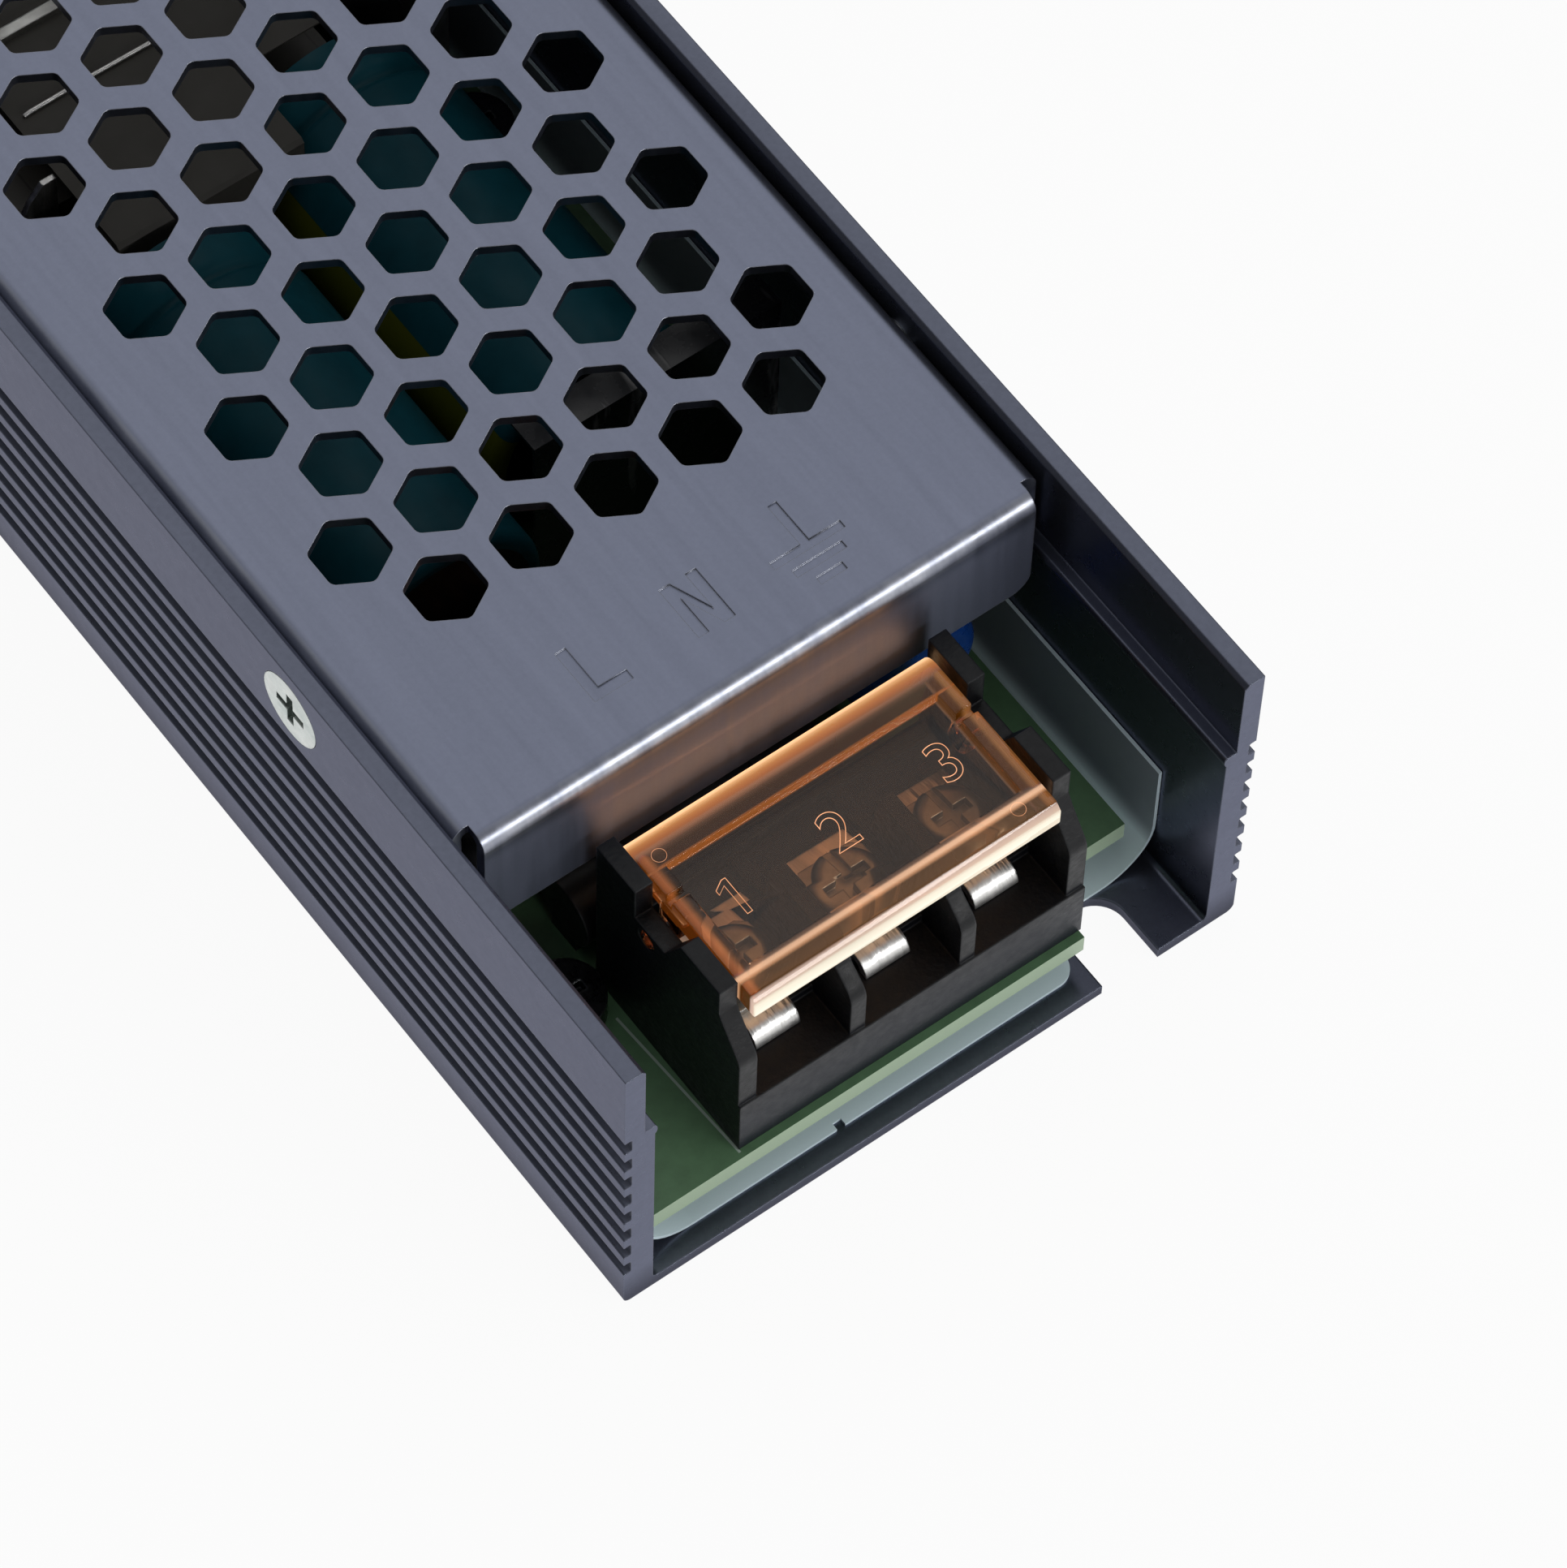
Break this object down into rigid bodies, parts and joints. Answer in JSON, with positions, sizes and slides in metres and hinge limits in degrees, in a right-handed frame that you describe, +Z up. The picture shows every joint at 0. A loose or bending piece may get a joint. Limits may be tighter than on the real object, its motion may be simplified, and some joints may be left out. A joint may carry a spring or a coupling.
{
  "type": "switching power supply",
  "caption": "Slim switching power supply: ribbed aluminium channel, perforated sheet cover, and at each end a screw terminal block under a hinged amber cover.",
  "frame": {"origin": "middle of the underside of the channel", "axes": "+Z up, +Y along the channel from the AC input end to the DC output end, +X to the right seen from the AC end"},
  "size_m": [0.0482, 0.193, 0.0283],
  "materials": {
    "aluminium_bar": "plain",
    "amber_clear": "clear",
    "black_moulding": "fine grain",
    "blue_coat": "epoxy",
    "board_green": "solder mask",
    "copper_wire": "enamelled",
    "cover_paint": "satin",
    "dark_film": "film",
    "ferrite": "sintered",
    "film": "matt film",
    "glass_tube": "clear",
    "grey_box": "moulded",
    "lamp_green": "clear",
    "rotor_white": "moulded",
    "slate_paint": "satin",
    "sleeve_teal": "shrink sleeve",
    "tape_taupe": "tape",
    "tin": "bright",
    "trimmer_blue": "moulded",
    "zinc": "plated"
  },
  "bodies": {
    "case": {"ac_contacts": "tin", "ac_terminal_block": "black_moulding", "board_screws": "zinc", "board_standoffs": "zinc", "bridge_rectifier": "black_moulding", "bulk_capacitor_1": "sleeve_teal", "bulk_capacitor_2": "sleeve_teal", "case_extrusion": "slate_paint", "circuit_board": "board_green", "control_chip": "black_moulding", "cover_screws": "zinc", "dc_contacts": "tin", "dc_terminal_block": "black_moulding", "filter_choke_core": "ferrite", "filter_choke_winding": "copper_wire", "fuse_caps": "tin", "fuse_tube": "glass_tube", "indicator_lamp": "lamp_green", "insulating_film": "film", "insulating_strip": "dark_film", "line_capacitor": "grey_box", "line_choke_core": "ferrite", "line_choke_winding": "copper_wire", "mesh_cover": "cover_paint", "optocoupler": "black_moulding", "output_capacitors": "sleeve_teal", "output_choke_core": "ferrite", "output_choke_winding": "copper_wire", "output_heat_sink": "aluminium_bar", "output_rectifier_clips": "tin", "output_rectifiers": "black_moulding", "power_transistor_clips": "tin", "power_transistors": "black_moulding", "primary_heat_sink": "aluminium_bar", "safety_capacitors": "blue_coat", "snubber_capacitor": "grey_box", "thermistor": "black_moulding", "transformer_bobbin": "black_moulding", "transformer_clip": "tin", "transformer_core": "ferrite", "transformer_winding": "tape_taupe", "trimmer_body": "trimmer_blue", "varistor": "blue_coat"},
    "ac_terminal_cover": {"ac_terminal_cover": "amber_clear"},
    "ac_clamp_washer_1": {"ac_clamp_washer_1": "tin"},
    "ac_terminal_screw_1": {"ac_terminal_screw_1": "zinc"},
    "ac_clamp_washer_2": {"ac_clamp_washer_2": "tin"},
    "ac_terminal_screw_2": {"ac_terminal_screw_2": "zinc"},
    "ac_clamp_washer_3": {"ac_clamp_washer_3": "tin"},
    "ac_terminal_screw_3": {"ac_terminal_screw_3": "zinc"},
    "dc_terminal_cover": {"dc_terminal_cover": "amber_clear"},
    "dc_clamp_washer_1": {"dc_clamp_washer_1": "tin"},
    "dc_terminal_screw_1": {"dc_terminal_screw_1": "zinc"},
    "dc_clamp_washer_2": {"dc_clamp_washer_2": "tin"},
    "dc_terminal_screw_2": {"dc_terminal_screw_2": "zinc"},
    "dc_clamp_washer_3": {"dc_clamp_washer_3": "tin"},
    "dc_terminal_screw_3": {"dc_terminal_screw_3": "zinc"},
    "trimmer_rotor": {"trimmer_rotor": "rotor_white"}
  },
  "joints": [
    {"name": "ac_cover_flip", "type": "hinge", "parent": "case", "child": "ac_terminal_cover", "pos_m": [-0.0002, -0.0843, 0.0173], "axis": [-1, 0, 0], "range_deg": [0, 90]},
    {"name": "ac_clamp_lift_1", "type": "slide", "parent": "case", "child": "ac_clamp_washer_1", "axis": [0, 0, 1], "range_m": [0, 0.002]},
    {"name": "ac_screw_turn_1", "type": "hinge", "parent": "ac_clamp_washer_1", "child": "ac_terminal_screw_1", "pos_m": [-0.0087, -0.0869, 0.014], "axis": [0, 0, 1], "range_deg": [0, 1440]},
    {"name": "ac_clamp_lift_2", "type": "slide", "parent": "case", "child": "ac_clamp_washer_2", "axis": [0, 0, 1], "range_m": [0, 0.002]},
    {"name": "ac_screw_turn_2", "type": "hinge", "parent": "ac_clamp_washer_2", "child": "ac_terminal_screw_2", "pos_m": [-0.0002, -0.0869, 0.014], "axis": [0, 0, 1], "range_deg": [0, 1440]},
    {"name": "ac_clamp_lift_3", "type": "slide", "parent": "case", "child": "ac_clamp_washer_3", "axis": [0, 0, 1], "range_m": [0, 0.002]},
    {"name": "ac_screw_turn_3", "type": "hinge", "parent": "ac_clamp_washer_3", "child": "ac_terminal_screw_3", "pos_m": [0.0083, -0.0869, 0.014], "axis": [0, 0, 1], "range_deg": [0, 1440]},
    {"name": "dc_cover_flip", "type": "hinge", "parent": "case", "child": "dc_terminal_cover", "pos_m": [0.0002, 0.0843, 0.0173], "axis": [1, 0, 0], "range_deg": [0, 90]},
    {"name": "dc_clamp_lift_1", "type": "slide", "parent": "case", "child": "dc_clamp_washer_1", "axis": [0, 0, 1], "range_m": [0, 0.002]},
    {"name": "dc_screw_turn_1", "type": "hinge", "parent": "dc_clamp_washer_1", "child": "dc_terminal_screw_1", "pos_m": [0.0087, 0.0869, 0.014], "axis": [0, 0, 1], "range_deg": [0, 1440]},
    {"name": "dc_clamp_lift_2", "type": "slide", "parent": "case", "child": "dc_clamp_washer_2", "axis": [0, 0, 1], "range_m": [0, 0.002]},
    {"name": "dc_screw_turn_2", "type": "hinge", "parent": "dc_clamp_washer_2", "child": "dc_terminal_screw_2", "pos_m": [0.0002, 0.0869, 0.014], "axis": [0, 0, 1], "range_deg": [0, 1440]},
    {"name": "dc_clamp_lift_3", "type": "slide", "parent": "case", "child": "dc_clamp_washer_3", "axis": [0, 0, 1], "range_m": [0, 0.002]},
    {"name": "dc_screw_turn_3", "type": "hinge", "parent": "dc_clamp_washer_3", "child": "dc_terminal_screw_3", "pos_m": [-0.0083, 0.0869, 0.014], "axis": [0, 0, 1], "range_deg": [0, 1440]},
    {"name": "trimmer_turn", "type": "hinge", "parent": "case", "child": "trimmer_rotor", "pos_m": [0.0169, 0.0869, 0.0099], "axis": [0, 0, 1], "range_deg": [-105, 105]}
  ],
  "couplings": [
    {"joint": "ac_screw_turn_1", "follows": "ac_clamp_lift_1", "rad_per_m": 12566},
    {"joint": "ac_screw_turn_2", "follows": "ac_clamp_lift_2", "rad_per_m": 12566},
    {"joint": "ac_screw_turn_3", "follows": "ac_clamp_lift_3", "rad_per_m": 12566},
    {"joint": "dc_screw_turn_1", "follows": "dc_clamp_lift_1", "rad_per_m": 12566},
    {"joint": "dc_screw_turn_2", "follows": "dc_clamp_lift_2", "rad_per_m": 12566},
    {"joint": "dc_screw_turn_3", "follows": "dc_clamp_lift_3", "rad_per_m": 12566}
  ]
}
